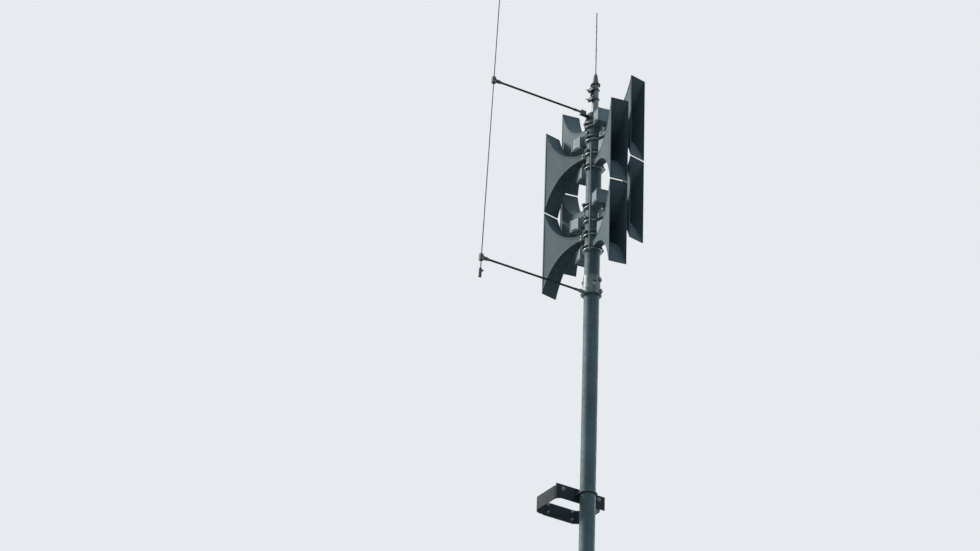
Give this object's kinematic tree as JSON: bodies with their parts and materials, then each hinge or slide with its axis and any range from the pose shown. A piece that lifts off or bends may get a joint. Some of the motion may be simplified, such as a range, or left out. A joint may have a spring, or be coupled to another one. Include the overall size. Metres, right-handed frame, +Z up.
{
  "type": "civil defense siren mast",
  "caption": "Wall-bracketed mast with stacked flat-sided siren horns facing front and rear, their drivers, a whip antenna and a lightning rod held off by insulating arms.",
  "frame": {"origin": "centre of the upper wall plate's back face, which lies on the wall", "axes": "+X along the wall to the right as seen from outside, +Y into the wall, +Z up along the mast"},
  "size_m": [1.345, 1.0802, 6.4958],
  "materials": {
    "horn_paint": "weathered matt grey-green coating",
    "driver_paint": "light grey coating, satin",
    "collar_metal": "cast, dull",
    "mast_zinc": "hot-dip galvanised, weathered",
    "pole_zinc": "galvanised, satin",
    "antenna_base": "matt black",
    "rod_metal": "drawn, dull",
    "clamp_metal": "galvanised, dark with age",
    "arm_glassfibre": "glass-fibre rod, near black",
    "bracket_zinc": "galvanised flat bar, weathered",
    "bolt_zinc": "zinc plated"
  },
  "bodies": {
    "root": {"mast_tube": "mast_zinc", "mast_foot_cap": "mast_zinc", "mast_top_cap": "mast_zinc", "antenna_pole": "pole_zinc", "antenna_flange": "antenna_base", "antenna_whip": "rod_metal", "antenna_pole_clamps": "clamp_metal", "horn_front_left_lower": "horn_paint", "horn_rear_left_lower": "horn_paint", "horn_front_right_lower": "horn_paint", "horn_rear_right_lower": "horn_paint", "horn_front_left_upper": "horn_paint", "horn_rear_left_upper": "horn_paint", "horn_front_right_upper": "horn_paint", "horn_rear_right_upper": "horn_paint", "driver_front_left_lower": "driver_paint", "driver_rear_left_lower": "driver_paint", "driver_front_right_lower": "driver_paint", "driver_rear_right_lower": "driver_paint", "driver_front_left_upper": "driver_paint", "driver_rear_left_upper": "driver_paint", "driver_front_right_upper": "driver_paint", "driver_rear_right_upper": "driver_paint", "collar_front_left_lower": "collar_metal", "collar_rear_left_lower": "collar_metal", "collar_front_right_lower": "collar_metal", "collar_rear_right_lower": "collar_metal", "collar_front_left_upper": "collar_metal", "collar_rear_left_upper": "collar_metal", "collar_front_right_upper": "collar_metal", "collar_rear_right_upper": "collar_metal", "arm_upper": "arm_glassfibre", "arm_lower": "arm_glassfibre", "arm_ring_upper": "clamp_metal", "arm_collar_lower": "clamp_metal", "rod_clamp_upper": "clamp_metal", "rod_clamp_lower": "clamp_metal", "lightning_rod": "rod_metal", "rod_connector": "clamp_metal", "hoop_upper": "bracket_zinc", "hoop_lower": "bracket_zinc", "wall_plate_upper": "bracket_zinc", "wall_plate_lower": "bracket_zinc", "ubolt_upper": "bolt_zinc", "ubolt_lower": "bolt_zinc"}
  },
  "joints": []
}
